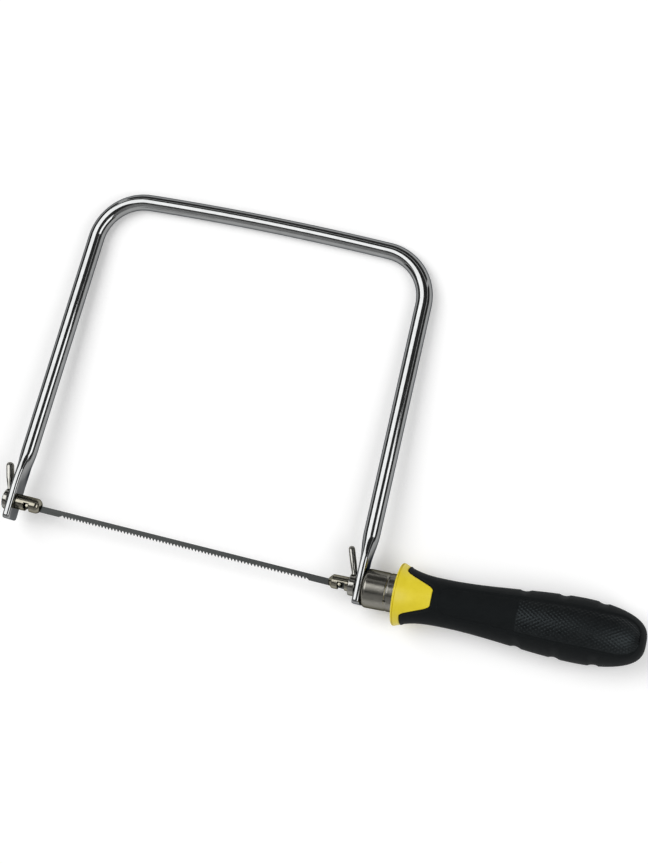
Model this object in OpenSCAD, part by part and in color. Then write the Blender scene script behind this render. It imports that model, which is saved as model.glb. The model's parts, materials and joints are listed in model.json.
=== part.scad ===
// Coping saw: a bent steel bow, a pinned blade between two turning spigots, and a handle that
// screws onto the rear spigot to tension the blade.
// Working frame: x along the blade towards the handle, y towards the top bar, z out of the bow's plane.
// The finished saw is laid on its side, on the three points that it really rests on.

/* [Bow frame] */
// Diameter of the round steel rod
rod_d = 8; // [7:0.5:9]
// Distance along the blade line from the middle of a flattened leg end to the pin nearest it
pin_in = 9.2; // [8:0.1:12]
// Height of the sharp corner between leg and top bar centrelines, above the blade line
bow_h = 160.8; // [120:0.2:220]
// How far each leg leans inwards, in degrees
leg_splay = 1.75; // [0.5:0.25:4]
// Rise of the bowed top bar at its middle
top_rise = 2.3; // [1:0.1:6]
// Centreline radius of the two bends
bend_r = 24; // [16:1:40]
// Thickness of a flattened leg end
pad_t = 2.9; // [2.2:0.1:4]
// Reach of a flattened leg end below the spigot axis
pad_drop = 8.7; // [7:0.1:14]
// Height above the spigot axis at which the flat begins to round off
pad_rise = 12; // [8:0.5:20]
// Length over which the flat turns into the round rod
flat_run = 9; // [6:0.5:16]
// Corner radius at the foot of a leg
pad_corner_r = 2; // [0.5:0.1:3.5]

/* [Blade] */
// Distance between the two cross pins
pin_span = 162; // [158:0.5:164]
// Height of the blade blank, tooth tips to back
blade_h = 3.2; // [2.4:0.1:3.6]
// Thickness of the blade
blade_t = 0.5; // [0.3:0.05:0.6]
// Distance from tooth tip to tooth tip
tooth_pitch = 1.69; // [0.8:0.01:3]
// Depth of a tooth gullet
tooth_depth = 0.75; // [0.3:0.05:1]
// Share of the pitch taken by a tooth's steep face
tooth_face = 0.22; // [0.1:0.02:0.4]
// Plain length from a pin to the first tooth
plain_end = 17; // [12:0.5:30]
// Length of blade beyond a pin
blade_tail = 2.2; // [1.5:0.1:2.6]
// How far the blade hangs below the spigot axis
blade_drop = 1; // [0.5:0.1:1.4]
// Diameter of a cross pin
pin_d = 1.8; // [1.4:0.1:2.2]
// Length of a cross pin
pin_len = 5.8; // [4.6:0.1:6]

/* [Spigots and levers] */
// Diameter of the front spigot's nose
front_nose_d = 7.5; // [7:0.1:9]
// Radius of the front nose's rounded tip
front_nose_round = 2.8; // [1:0.1:3.4]
// Diameter of the rear spigot's nose
rear_nose_d = 6.8; // [6.6:0.1:8]
// Width of the bevel round the rear nose's tip
rear_nose_bevel = 1.9; // [0.8:0.1:2.4]
// Distance from the pin to the front nose's tip
front_tip = 6.5; // [5:0.1:9]
// Distance from the pin to the rear nose's tip
rear_tip = 5.8; // [5:0.1:9]
// Diameter of both shanks and of the rear stud's thread
shank_d = 5; // [4:0.1:5.4]
// Distance across the flats that key the rear spigot in its lever
key_w = 3.9; // [3:0.1:4.6]
// Width of the notch that a cross pin hooks into
notch_w = 3.6; // [3.4:0.1:4]
// Diameter of a lever's eye
eye_d = 10.2; // [8.5:0.1:12]
// Thickness of a lever's eye
eye_t = 3.3; // [2.6:0.1:4.4]
// Bevel round the free face of a lever's eye
eye_bevel = 0.6; // [0.2:0.1:1]
// Thickness of a lever's arm
arm_t = 2.4; // [1.6:0.1:2.8]
// Width of a lever's arm
arm_w = 4.8; // [3.5:0.1:7]
// Width of the neck between a lever's arm and its eye
arm_neck_w = 3.9; // [3:0.1:7]
// How far a lever leans away from its leg, in degrees
arm_lean = 20; // [10:1:30]
// Height of a lever's tip above the spigot axis
arm_reach = 17.6; // [12:0.2:24]
// Ledge between the front spigot's riveted head and its lever's arm
head_ledge = 0.1; // [0.1:0.1:1]
// Height of the riveted head
head_h = 1; // [0.6:0.1:2]

/* [Handle] */
// Angle between the handle and the blade line, in degrees
handle_tilt = 2.75; // [0.5:0.25:4]
// How far the handle is turned about its axis at rest, in degrees
handle_roll = 3; // [0:1:20]
// Diameter of the ferrule at the leg
ferrule_d = 18.6; // [17:0.1:21]
// How much the ferrule narrows towards the handle
ferrule_taper = 0.6; // [0:0.1:1]
// Distance from the leg to the handle's rim
ferrule_len = 16.4; // [15:0.1:22]
// Wall of the ferrule
ferrule_wall = 0.9; // [0.6:0.1:1.4]
// Thickness of the ferrule's end wall
ferrule_end_t = 1.3; // [0.8:0.1:2]
// Radius of the ferrule's front edge
ferrule_edge_r = 2; // [1:0.1:2.6]
// Distance from the ferrule's front to its rolled groove
groove_at = 11.6; // [6:0.1:12.4]
// Width of the rolled groove
groove_w = 1.1; // [0.6:0.1:1.6]
// Depth of the rolled groove
groove_depth = 0.3; // [0.1:0.05:0.5]
// Diameter of the punched hole that stakes the ferrule to the core
stake_d = 1.1; // [0.6:0.1:1.6]
// Angle of the punched hole round the ferrule, from the front, in degrees
stake_deg = 33; // [0:1:60]
// Depth of the recess that the rim holds the ferrule's end in
ferrule_seat = 1.5; // [0.5:0.1:2.5]
// Diameter of the handle's rim
rim_d = 29.7; // [26:0.1:34]
// Straight length of the rim
rim_land = 1.4; // [0.6:0.1:3]
// Radius of the rim's front edge
rim_edge_r = 0.9; // [0.3:0.1:1.2]
// Distance from the rim's front to the start of the soft grip
collar_len = 4; // [3:0.1:6]
// Diameter of the handle's neck
neck_d = 22.3; // [20:0.1:25]
// Distance from the rim to the thinnest place of the neck
neck_at = 24; // [18:0.5:34]
// Diameter of the handle's swell
swell_d = 30.1; // [27:0.1:35]
// Distance from the rim to the thickest place of the swell
swell_at = 85.6; // [70:0.2:95]
// Length of the handle behind the rim's front
handle_len = 115.7; // [105:0.1:135]
// Thickness of the soft grip over the core
grip_t = 2.2; // [1.6:0.1:3]

/* [Grip details] */
// Width of a tongue at its root
tongue_root_w = 20; // [14:0.5:22]
// Distance from the rim to the tip of a tongue
tongue_tip_at = 17.6; // [12:0.1:22]
// Width of a tongue at its tip
tongue_tip_w = 9.4; // [6:0.2:14]
// Corner radius of a tongue
tongue_corner_r = 1.6; // [0.6:0.1:2.4]
// Distance from the rim to the start of a side panel
panel_from = 21; // [20:0.5:40]
// Distance from the end of a side panel to the butt
panel_end_in = 3.3; // [2.7:0.1:20]
// Angle that a side panel takes up round the handle, in degrees
panel_deg = 76; // [50:1:90]
// Depth of a side panel below the grip's surface
panel_depth = 0.35; // [0.2:0.05:0.8]
// Number of finger grooves along each edge
finger_n = 3; // [1:1:4]
// Distance from the rim to the first finger groove
finger_first = 58.6; // [40:0.2:64]
// Distance between finger grooves
finger_pitch = 17.9; // [8:0.1:20]
// Radius of a finger groove
finger_r = 3; // [2:0.5:6]
// Depth of a finger groove
finger_depth = 0.6; // [0.3:0.05:1]

/* [Tension nut] */
// Distance across the flats of the nut moulded into the core
nut_af = 8; // [7.5:0.1:11]
// Length of the nut
nut_len = 8; // [5:0.1:10]
// How far the stud reaches past the nut
stud_past = 3; // [1.5:0.1:6]

/* [Fits] */
// Radial clearance of a running fit
run_gap = 0.05; // [0.02:0.01:0.1]
// Clearance between pieces that are fixed together
seat_gap = 0.02; // [0.01:0.01:0.05]
// Radial clearance of a hole that the stud only passes through
stud_gap = 0.3; // [0.2:0.05:0.5]
// Clearance between flat faces that turn past each other
face_gap = 0.15; // [0.1:0.05:0.3]
// Clearance between a pin and the notch wall that it pulls on
pin_gap = 0.25; // [0.2:0.05:0.4]
// Clearance above the blade in its slot
slot_gap = 0.4; // [0.3:0.05:0.6]
// Clearance beside the blade in its slot, where the leaning rear spigot comes nearest
side_gap = 0.1; // [0.05:0.05:0.3]
// How far the rear spigot backs out when the handle is loosened
slack = 1.2; // [0.4:0.1:1.2]

/* [Hidden] */
$fn = 64;
// Sides of the rod, and rings along a foot's corner, a pressed blend, a bend and half the top bar
rod_sides = 40;
foot_steps = 4;
flat_steps = 9;
bend_steps = 16;
top_steps = 8;

chrome = "gainsboro";
nickel = "silver";
steel = "slategray";
yellow = "gold";
black = "dimgray";

rod_r = rod_d / 2;
// A rod keeps its girth when it is pressed flat
pad_w = pad_t + (rod_d - pad_t) * PI / 2;
pad_half = (pad_w - pad_t) / 2;
// Overlap of solids that are one piece
weld = 0.4;

// Places along the blade line, measured from the front leg
front_pin_x = pin_in;
rear_pin_x = pin_in + pin_span;
leg_span = pin_span + 2 * pin_in;
pin_r = pin_d / 2;
shank_r = shank_d / 2;
// Length of slot behind the rear pin, for the blade's tail and the slack
tail_room = blade_tail + slack + slot_gap;
// Width of the slot that the blade lies in: a turned rear spigot leans across the blade
slot_w = blade_t + 2 * (side_gap + (rear_tip + slack) * sin(handle_tilt));

// Places along the handle axis, measured from the rear pin
rear_pad_at = pin_in * cos(handle_tilt);
leg_face_at = rear_pad_at + pad_t / 2;
rear_eye_at = rear_pad_at - pad_t / 2 - face_gap - eye_t;
ferrule_at = leg_face_at + face_gap;
nut_at = ferrule_at + ferrule_end_t + seat_gap;
stud_end = nut_at + nut_len + stud_past;
rim_at = leg_face_at + ferrule_len;
ferrule_end_d = ferrule_d - ferrule_taper;
ferrule_bore_r = ferrule_end_d / 2 - ferrule_wall;
ferrule_total = rim_at + ferrule_seat - seat_gap - ferrule_at;

// Centreline of the bow: big arc of the top bar, then a bend into each leg
corner_x = bow_h * tan(leg_splay);
top_chord = leg_span - 2 * corner_x;
top_r = (pow(top_chord / 2, 2) + pow(top_rise, 2)) / (2 * top_rise);
top_centre = [leg_span / 2, bow_h + top_rise - top_r];
leg_dir = [sin(leg_splay), cos(leg_splay)];
leg_in = [cos(leg_splay), -sin(leg_splay)];
bend_off = bend_r * leg_in - top_centre;
leg_len = -leg_dir * bend_off
    + sqrt(pow(leg_dir * bend_off, 2) - bend_off * bend_off + pow(top_r - bend_r, 2));
bend_centre = bend_r * leg_in + leg_len * leg_dir;
top_half_deg = atan2(top_centre.x - bend_centre.x, bend_centre.y - top_centre.y);
round_at = (pad_rise + flat_run) / cos(leg_splay);

// Radius of the handle at a distance behind the rim's front
rim_r = rim_d / 2;
neck_r = neck_d / 2;
swell_r = swell_d / 2;
function mix(a, b, t) = a + (b - a) * t;
function ease(t) = t * t * (3 - 2 * t);
function flare_r(s) = mix(neck_r, rim_r, pow(1 - (s - rim_land) / (neck_at - rim_land), 3));
function swell_up_r(s) = mix(neck_r, swell_r, ease((s - neck_at) / (swell_at - neck_at)));
function butt_r(s) = swell_r * pow(1 - pow((s - swell_at) / (handle_len - swell_at), 2), 1 / 3);
function handle_r(s) = s < rim_land ? rim_r
    : s < neck_at ? flare_r(s)
    : s < swell_at ? swell_up_r(s)
    : butt_r(s);

// Stations along the handle, closer together where it curves most
flare_steps = 10;
swell_steps = 14;
butt_steps = 14;
function stations(from, to) = [
    for (s = concat(
        [for (i = [0 : flare_steps - 1]) mix(rim_land, neck_at, i / flare_steps)],
        [for (i = [0 : swell_steps - 1]) mix(neck_at, swell_at, i / swell_steps)],
        [for (i = [0 : butt_steps]) mix(swell_at, handle_len, sin(90 * i / butt_steps))]))
        if (s > from + weld && s < to - weld) s];
// Outline of the handle between two stations, drawn in by a depth
function skin(from, to, depth) = [
    for (s = concat([from], stations(from, to), [to])) [max(handle_r(s) - depth, 0), rim_at + s]];
core_end = handle_len - 2 * grip_t;
panel_to = handle_len - panel_end_in;
// Segments of a rounded corner and of a side panel's outline, and how square a panel's ends are
fillet_steps = 6;
panel_steps = 36;
panel_square = 10;

// The saw rests on the handle's rim, on the side panel over the swell, and on the top bar.
// Each is a ball: a middle in the bow's plane, and a radius. The touching point of the top bar
// moves with the tilt, so the floor's normal is found by repeated correction.
function on_axis(d) = [rear_pin_x + d * cos(handle_tilt), d * sin(handle_tilt)];
rim_rest = on_axis(rim_at + rim_edge_r);
swell_rest = on_axis(rim_at + swell_at);
swell_low = swell_r - panel_depth;
function bow_rest(n) = let (
    down = -[n.x, n.y] / norm([n.x, n.y]),
    lean = atan2(down.x, down.y))
    abs(lean) < top_half_deg ? top_centre + top_r * down
    : [lean < 0 ? bend_centre.x : leg_span - bend_centre.x, bend_centre.y] + bend_r * down;
function tilt_step(n) = let (
    a = bow_rest(n) - swell_rest,
    b = rim_rest - swell_rest,
    p = rod_r - swell_low,
    q = rim_r - swell_low,
    det = a.x * b.y - a.y * b.x,
    nx = (p * b.y - q * a.y) / det,
    ny = (a.x * q - b.x * p) / det)
    [nx, ny, sqrt(1 - nx * nx - ny * ny)];
function settle(n, k) = k == 0 ? n : settle(tilt_step(n), k - 1);
floor_n = settle([0, -0.1, 1], 12);
lay_axis = cross(floor_n, [0, 0, 1]);
lay_deg = asin(norm(lay_axis));
axis_h = swell_low - [floor_n.x, floor_n.y] * swell_rest;
// Middle of the saw's plan, which becomes the origin
arm_tip_out = pad_t / 2 + face_gap + eye_t + (arm_reach - eye_d / 2) * tan(arm_lean);
butt_x = on_axis(rim_at + handle_len).x;
top_y = (bow_h + top_rise) * cos(lay_deg) + rod_r;
low_y = min(rim_rest.y - rim_r, swell_rest.y - swell_r, -pad_drop);
plan_mid = [butt_x - arm_tip_out, top_y + low_y] / 2;

// Sets the saw down on the floor, with the middle of its plan at the origin
module laid() {
    translate([-plan_mid.x, -plan_mid.y, axis_h]) rotate(a = lay_deg, v = lay_axis) children();
}

// Moves to the handle axis, which runs along x from the rear pin
module on_handle() {
    translate([rear_pin_x, 0, 0]) rotate([0, 0, handle_tilt]) children();
}

// Solid of revolution about x from an outline of [radius, place along x]
module turned(outline) {
    rotate([0, 90, 0]) rotate_extrude() polygon(outline);
}

// Round bar along x
module bar(from, to, r) {
    translate([from, 0, 0]) rotate([0, 90, 0]) cylinder(r = r, h = to - from);
}

// Point of the pressed section at an angle, spaced by girth: x is the thickness, y the width
function flat_point(deg, half) = let (
    quarter = half + PI / 4 * pad_t,
    run = abs((deg + 90) % 180 - 90) / 90 * quarter,
    arc = max(run - half, 0) / (pad_t / 2) * 180 / PI)
    [(deg > 90 && deg < 270 ? -1 : 1) * pad_t / 2 * cos(arc),
     (deg < 180 ? 1 : -1) * (min(run, half) + pad_t / 2 * sin(arc))];

// Stations of half the bow from the foot of a leg to the middle of the top bar:
// [x, y, heading in degrees from +y, roundness from flat to full, half width of the flat]
function half_bow(pad_lean) = let (up = [sin(pad_lean), cos(pad_lean)]) concat(
    [for (i = [0 : foot_steps]) let (
        deg = 90 * i / foot_steps,
        middle = (pad_corner_r * (1 - cos(deg)) - pad_drop) * up)
        [middle.x, middle.y, pad_lean, 0, pad_half - pad_corner_r * (1 - sin(deg))]],
    [for (i = [0 : flat_steps]) let (
        t = i / flat_steps,
        middle = mix(pad_rise * up, round_at * leg_dir, t))
        [middle.x, middle.y, mix(pad_lean, leg_splay, ease(t)), ease(t), pad_half]],
    [for (i = [0 : bend_steps]) let (
        heading = mix(leg_splay, 90 - top_half_deg, i / bend_steps),
        middle = bend_centre - bend_r * [cos(heading), -sin(heading)])
        [middle.x, middle.y, heading, 1, pad_half]],
    [for (i = [1 : top_steps]) let (
        heading = mix(90 - top_half_deg, 90, i / top_steps),
        middle = top_centre - top_r * [cos(heading), -sin(heading)])
        [middle.x, middle.y, heading, 1, pad_half]]);

// Both halves in one run, the rear one mirrored and without the shared middle
rear_half = half_bow(handle_tilt);
bow_path = concat(half_bow(0), [for (i = [len(rear_half) - 2 : -1 : 0]) let (p = rear_half[i])
    [leg_span - p.x, p.y, 180 - p.z, p[3], p[4]]]);

// Section of the rod at a station, standing square to its heading
function bow_ring(p) = [for (i = [0 : rod_sides - 1]) let (
    deg = 360 * i / rod_sides,
    across = mix(flat_point(deg, p[4]), rod_r * [cos(deg), sin(deg)], p[3]))
    [p.x + across.x * cos(p.z), p.y - across.x * sin(p.z), across.y]];

// One rod bent into the bow, with both ends pressed flat
module bent_rod() {
    n = rod_sides;
    last = len(bow_path) - 1;
    points = [for (p = bow_path) each bow_ring(p)];
    sides = [for (k = [0 : last - 1], i = [0 : n - 1], half = [0, 1]) let (
        a = k * n + i,
        b = k * n + (i + 1) % n)
        half == 0 ? [a, b, a + n] : [b, b + n, a + n]];
    ends = [for (k = [0, last]) [for (i = [0 : n - 1]) k * n + (n / 4 + (k == 0 ? n - i : i)) % n]];
    polyhedron(points, concat(sides, ends));
}

module bow_frame() {
    color(chrome) laid() difference() {
        bent_rod();
        bar(-pad_t, pad_t, shank_r + run_gap);
        on_handle() bar(rear_pad_at - pad_t, rear_pad_at + pad_t, shank_r + run_gap);
    }
}

// Outline of the blade: a straight back, and teeth that lean towards the handle along the lower edge
module blade_outline() {
    back_y = blade_h / 2;
    tip_y = -blade_h / 2;
    root_y = tip_y + tooth_depth;
    front_end = front_pin_x - blade_tail;
    rear_end = rear_pin_x + blade_tail;
    first = front_pin_x + plain_end;
    teeth = floor((pin_span - 2 * plain_end) / tooth_pitch);
    last = first + teeth * tooth_pitch;
    saw_edge = [for (i = [0 : teeth - 1]) each [
        [first + (i + 1 - tooth_face) * tooth_pitch, tip_y],
        [first + (i + 1) * tooth_pitch, root_y]]];
    polygon(concat(
        [[front_end, back_y], [front_end, tip_y], [first - tooth_pitch, tip_y], [first, root_y]],
        saw_edge,
        [[last + tooth_pitch, tip_y], [rear_end, tip_y], [rear_end, back_y]]));
}

module saw_blade() {
    color(steel) laid() translate([0, -blade_drop, 0]) difference() {
        linear_extrude(blade_t, center = true) blade_outline();
        for (x = [front_pin_x, rear_pin_x])
            translate([x, 0, 0]) cylinder(r = pin_r + seat_gap, h = 2 * blade_t, center = true);
    }
}

module blade_pin(x) {
    color(nickel) laid() translate([x, -blade_drop, 0]) cylinder(r = pin_r, h = pin_len, center = true);
}

module front_blade_pin() {
    blade_pin(front_pin_x);
}

module rear_blade_pin() {
    blade_pin(rear_pin_x);
}

// Opening under a nose: a cross notch for the pin and a slot for the blade, both open below.
// x runs from the pin towards the blade
module pin_notch(nose_r, tip, back) {
    below = nose_r + weld;
    notch_top = pin_r + pin_gap - blade_drop;
    slot_top = blade_h / 2 + slot_gap - blade_drop;
    translate([pin_r + pin_gap - notch_w, -below, -below]) cube([notch_w, below + notch_top, 2 * below]);
    translate([-back, -below, -slot_w / 2]) cube([back + tip + weld, below + slot_top, slot_w]);
}

module front_spigot() {
    nose_r = front_nose_d / 2;
    shoulder = pad_t / 2 + face_gap;
    tip = front_pin_x + front_tip;
    head_at = -shoulder - eye_t - seat_gap;
    head_r = (eye_d - arm_t) / 2 - head_ledge;
    color(nickel) laid() difference() {
        union() {
            turned(concat(
                [[0, shoulder], [nose_r, shoulder]],
                [for (a = [0 : 10 : 90])
                    [nose_r - front_nose_round * (1 - cos(a)), tip - front_nose_round * (1 - sin(a))]],
                [[0, tip]]));
            bar(head_at - weld, shoulder + weld, shank_r);
            turned(concat(
                [[0, head_at]],
                [for (a = [0 : 10 : 90]) [head_r * cos(a), head_at - head_h * sin(a)]]));
        }
        translate([front_pin_x, 0, 0]) pin_notch(nose_r, front_tip, blade_tail + slot_gap);
    }
}

// Lever for turning a spigot. Its eye lies on the leg at x = 0 and its arm leans towards +x.
module lever() {
    eye_r = eye_d / 2;
    tip_r = arm_t / 2;
    root = eye_r - tip_r;
    run = (arm_reach - tip_r * (1 - sin(arm_lean)) - root) / cos(arm_lean);
    neck_half = arm_neck_w / 2;
    arm_half = arm_w / 2;
    wide_from = eye_r + arm_half;
    wide_to = arm_reach - arm_half;
    turned([[0, 0], [eye_r, 0], [eye_r, eye_t - eye_bevel], [eye_r - eye_bevel, eye_t], [0, eye_t]]);
    intersection() {
        linear_extrude(arm_w, center = true) translate([eye_t, root]) rotate(-arm_lean) union() {
            translate([-arm_t, -tip_r]) square([arm_t, run]);
            translate([-tip_r, run - tip_r]) circle(r = tip_r);
        }
        rotate([0, 90, 0]) linear_extrude(arm_reach) union() {
            translate([0, wide_to]) circle(r = arm_half);
            polygon([[-neck_half, 0], [neck_half, 0], [neck_half, eye_r],
                     [arm_half, wide_from], [arm_half, wide_to],
                     [-arm_half, wide_to], [-arm_half, wide_from], [-neck_half, eye_r]]);
        }
    }
}

module front_lever() {
    color(nickel) laid() mirror([1, 0, 0]) translate([pad_t / 2 + face_gap, 0, 0]) difference() {
        lever();
        bar(-weld, eye_t + weld, shank_r + seat_gap);
    }
}

// Round bar along x with two flats that face up and down
module keyed_bar(from, to, r, across) {
    intersection() {
        bar(from, to, r);
        translate([from, -across / 2, -r - weld]) cube([to - from, across, 2 * (r + weld)]);
    }
}

module rear_lever() {
    color(nickel) laid() on_handle() translate([rear_eye_at + eye_t, 0, 0]) mirror([1, 0, 0]) difference() {
        lever();
        keyed_bar(-weld, eye_t + weld, shank_r + run_gap, key_w + 2 * run_gap);
    }
}

module rear_spigot() {
    nose_r = rear_nose_d / 2;
    back = rear_eye_at - face_gap;
    keyed_to = rear_eye_at + eye_t + slack + face_gap;
    color(nickel) laid() on_handle() difference() {
        union() {
            turned([[0, -rear_tip], [nose_r - rear_nose_bevel, -rear_tip],
                    [nose_r, rear_nose_bevel - rear_tip], [nose_r, back], [0, back]]);
            keyed_bar(back - weld, keyed_to, shank_r, key_w);
            bar(keyed_to - seat_gap, stud_end, shank_r);
        }
        mirror([1, 0, 0]) pin_notch(nose_r, rear_tip, tail_room);
    }
}

module ferrule() {
    front_r = ferrule_d / 2;
    end_r = ferrule_end_d / 2;
    hole_r = shank_r + stud_gap;
    slope = (front_r - end_r) / ferrule_total;
    function wall_r(s) = front_r - slope * s;
    groove_from = groove_at - groove_w / 2;
    groove_to = groove_at + groove_w / 2;
    edge = [for (a = [0 : 15 : 90])
        [wall_r(ferrule_edge_r) - ferrule_edge_r * (1 - sin(a)), ferrule_edge_r * (1 - cos(a))]];
    groove = [[wall_r(groove_from), groove_from], [wall_r(groove_at) - groove_depth, groove_at],
              [wall_r(groove_to), groove_to]];
    inside = [[end_r, ferrule_total], [ferrule_bore_r, ferrule_total], [ferrule_bore_r, ferrule_end_t],
              [hole_r, ferrule_end_t]];
    color(nickel) laid() on_handle() translate([ferrule_at, 0, 0]) difference() {
        turned(concat([[hole_r, 0]], edge, groove, inside));
        rotate([stake_deg, 0, 0]) translate([groove_at, 0, 0]) cylinder(d = stake_d, h = ferrule_d);
    }
}

module tension_nut() {
    color(nickel) laid() on_handle() rotate([-handle_roll, 0, 0]) difference() {
        translate([nut_at, 0, 0]) rotate([0, 90, 0]) cylinder(d = nut_af / cos(30), h = nut_len, $fn = 6);
        bar(nut_at - weld, nut_at + nut_len + weld, shank_r + run_gap);
    }
}

// Arc that rounds the corner b between a and c
function fillet(a, b, c, r) = let (
    u = (a - b) / norm(a - b),
    v = (c - b) / norm(c - b),
    half = acos(u * v) / 2,
    middle = b + (u + v) / norm(u + v) * r / sin(half),
    from = b + u * r / tan(half) - middle,
    to = b + v * r / tan(half) - middle,
    start = atan2(from.y, from.x),
    turn = (atan2(to.y, to.x) - start + 540) % 360 - 180)
    [for (i = [0 : fillet_steps]) let (deg = start + turn * i / fillet_steps)
        middle + r * [cos(deg), sin(deg)]];

// Outline of the rigid collar and its tongue, seen from the front, cut through both sides of the handle
module tongue_prism(gap) {
    collar = rim_at + collar_len + gap;
    tip = rim_at + tongue_tip_at + gap;
    root_y = tongue_root_w / 2 + gap;
    tip_y = tongue_tip_w / 2 + gap;
    far = [collar, rim_d];
    root = [collar, root_y];
    corner = [tip, tip_y];
    half = concat([far], fillet(far, root, corner, tongue_corner_r),
                  fillet(root, corner, [tip, 0], tongue_corner_r));
    other = [for (i = [len(half) - 1 : -1 : 0]) [half[i].x, -half[i].y]];
    linear_extrude(2 * rim_d, center = true)
        polygon(concat([[rim_at, rim_d]], half, other, [[rim_at, -rim_d]]));
}

// Rigid core: tenon inside the ferrule, rim, collar with two tongues, and the stem inside the grip
module handle_core() {
    tenon_r = ferrule_bore_r - seat_gap;
    seat_r = ferrule_end_d / 2 + run_gap;
    collar = rim_at + collar_len;
    collar_r = handle_r(collar_len);
    tongue_stop = tongue_tip_at + weld;
    stem = skin(collar_len, core_end, grip_t + seat_gap);
    tongue = skin(collar_len, tongue_stop, 0);
    tongue_foot = [for (i = [len(tongue) - 1 : -1 : 0]) tongue[i] - [grip_t + weld, 0]];
    color(yellow) laid() on_handle() rotate([-handle_roll, 0, 0]) difference() {
        union() {
            turned(concat(
                [[0, nut_at], [tenon_r, nut_at], [tenon_r, rim_at + ferrule_seat],
                 [seat_r, rim_at + ferrule_seat], [seat_r, rim_at]],
                [for (a = [90 : -15 : 0])
                    [rim_r - rim_edge_r * (1 - cos(a)), rim_at + rim_edge_r * (1 - sin(a))]],
                skin(rim_land, collar_len, 0), stem, [[0, rim_at + core_end]]));
            intersection() {
                turned(concat([[collar_r - weld, collar - weld], [collar_r - weld, collar]],
                              tongue, tongue_foot, [[collar_r - grip_t - weld, collar - weld]]));
                tongue_prism(0);
            }
        }
        translate([nut_at - weld, 0, 0]) rotate([0, 90, 0])
            cylinder(d = nut_af / cos(30) + 2 * seat_gap, h = nut_len + weld + seat_gap, $fn = 6);
        bar(nut_at, stud_end + stud_past, shank_r + stud_gap);
    }
}

// Outline of a side panel, seen from the front: it follows the handle and is round at both ends
function panel_half(s) = let (t = 2 * (s - panel_from) / (panel_to - panel_from) - 1)
    handle_r(s) * sin(panel_deg / 2) * pow(max(1 - pow(t, panel_square), 0), 1 / 3);
panel_edge = [for (i = [0 : panel_steps]) let (
    s = mix(panel_from, panel_to, (1 - cos(180 * i / panel_steps)) / 2))
    [rim_at + s, panel_half(s)]];

// Shallow recess of the front and back panels
module panel_cut() {
    band = skin(panel_from - weld, panel_to + weld, panel_depth);
    outside = [for (i = [len(band) - 1 : -1 : 0]) band[i] + [grip_t, 0]];
    lower = [for (i = [len(panel_edge) - 2 : -1 : 1]) [panel_edge[i].x, -panel_edge[i].y]];
    intersection() {
        turned(concat(band, outside));
        linear_extrude(2 * rim_d, center = true) polygon(concat(panel_edge, lower));
    }
}

// Finger grooves across the upper and lower edges
module finger_cuts() {
    for (i = [0 : finger_n - 1], side = [-1, 1]) let (s = finger_first + i * finger_pitch)
        translate([rim_at + s, side * (handle_r(s) + finger_r - finger_depth), 0])
            cylinder(r = finger_r, h = swell_d, center = true);
}

// Soft grip moulded over the stem, with windows for the tongues
module soft_grip() {
    inner = skin(collar_len, core_end, grip_t);
    inner_back = [for (i = [len(inner) - 1 : -1 : 0]) inner[i]];
    color(black) laid() on_handle() rotate([-handle_roll, 0, 0]) difference() {
        turned(concat(skin(collar_len, handle_len, 0), [[0, rim_at + core_end + seat_gap]],
                      [inner_back[0] + [0, seat_gap]], inner_back));
        tongue_prism(seat_gap);
        panel_cut();
        finger_cuts();
    }
}

bow_frame();
saw_blade();
front_blade_pin();
rear_blade_pin();
front_spigot();
front_lever();
rear_spigot();
rear_lever();
ferrule();
tension_nut();
handle_core();
soft_grip();
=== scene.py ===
import json
import math

import bpy
import numpy as np
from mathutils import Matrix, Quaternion, Vector


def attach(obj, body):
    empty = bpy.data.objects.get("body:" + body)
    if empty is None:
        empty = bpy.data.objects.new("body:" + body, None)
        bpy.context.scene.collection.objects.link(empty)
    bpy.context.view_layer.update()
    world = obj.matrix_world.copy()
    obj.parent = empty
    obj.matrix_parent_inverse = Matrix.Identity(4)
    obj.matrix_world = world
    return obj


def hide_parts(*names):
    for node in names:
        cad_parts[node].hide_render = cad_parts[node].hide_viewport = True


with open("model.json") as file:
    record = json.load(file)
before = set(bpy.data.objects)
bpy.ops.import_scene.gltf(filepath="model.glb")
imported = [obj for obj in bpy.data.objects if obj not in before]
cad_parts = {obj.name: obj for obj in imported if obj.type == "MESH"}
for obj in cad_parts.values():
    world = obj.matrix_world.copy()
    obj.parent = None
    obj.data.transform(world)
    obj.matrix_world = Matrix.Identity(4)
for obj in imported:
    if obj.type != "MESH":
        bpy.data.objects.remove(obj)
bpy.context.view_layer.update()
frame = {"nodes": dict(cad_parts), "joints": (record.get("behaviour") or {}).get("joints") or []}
mm = 0.001          # sizes below are in millimetres
seatGap = 0.02      # between pieces that sit tight
past = 1.0          # cutters reach this far past what they cut
axisGap = 0.1       # a turned outline stops this far from the axis, and a fan closes the rest
joints = {joint["name"]: joint for joint in frame["joints"]}


# Working frame: x along a joint's axis, y as near to up as it goes, z towards the viewer, then rolled about x
def workingFrame(jointName, up, roll=0.0, back=0.0):
    x = np.array(joints[jointName]["axis"])
    x /= np.linalg.norm(x)
    z = np.cross(x, up)
    z /= np.linalg.norm(z)
    y = np.cross(z, x)
    turn = math.radians(roll)
    axes = np.array([x, math.cos(turn) * y - math.sin(turn) * z, math.sin(turn) * y + math.cos(turn) * z])
    return np.array(joints[jointName]["pos_m"]) - back * mm * x, axes


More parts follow.
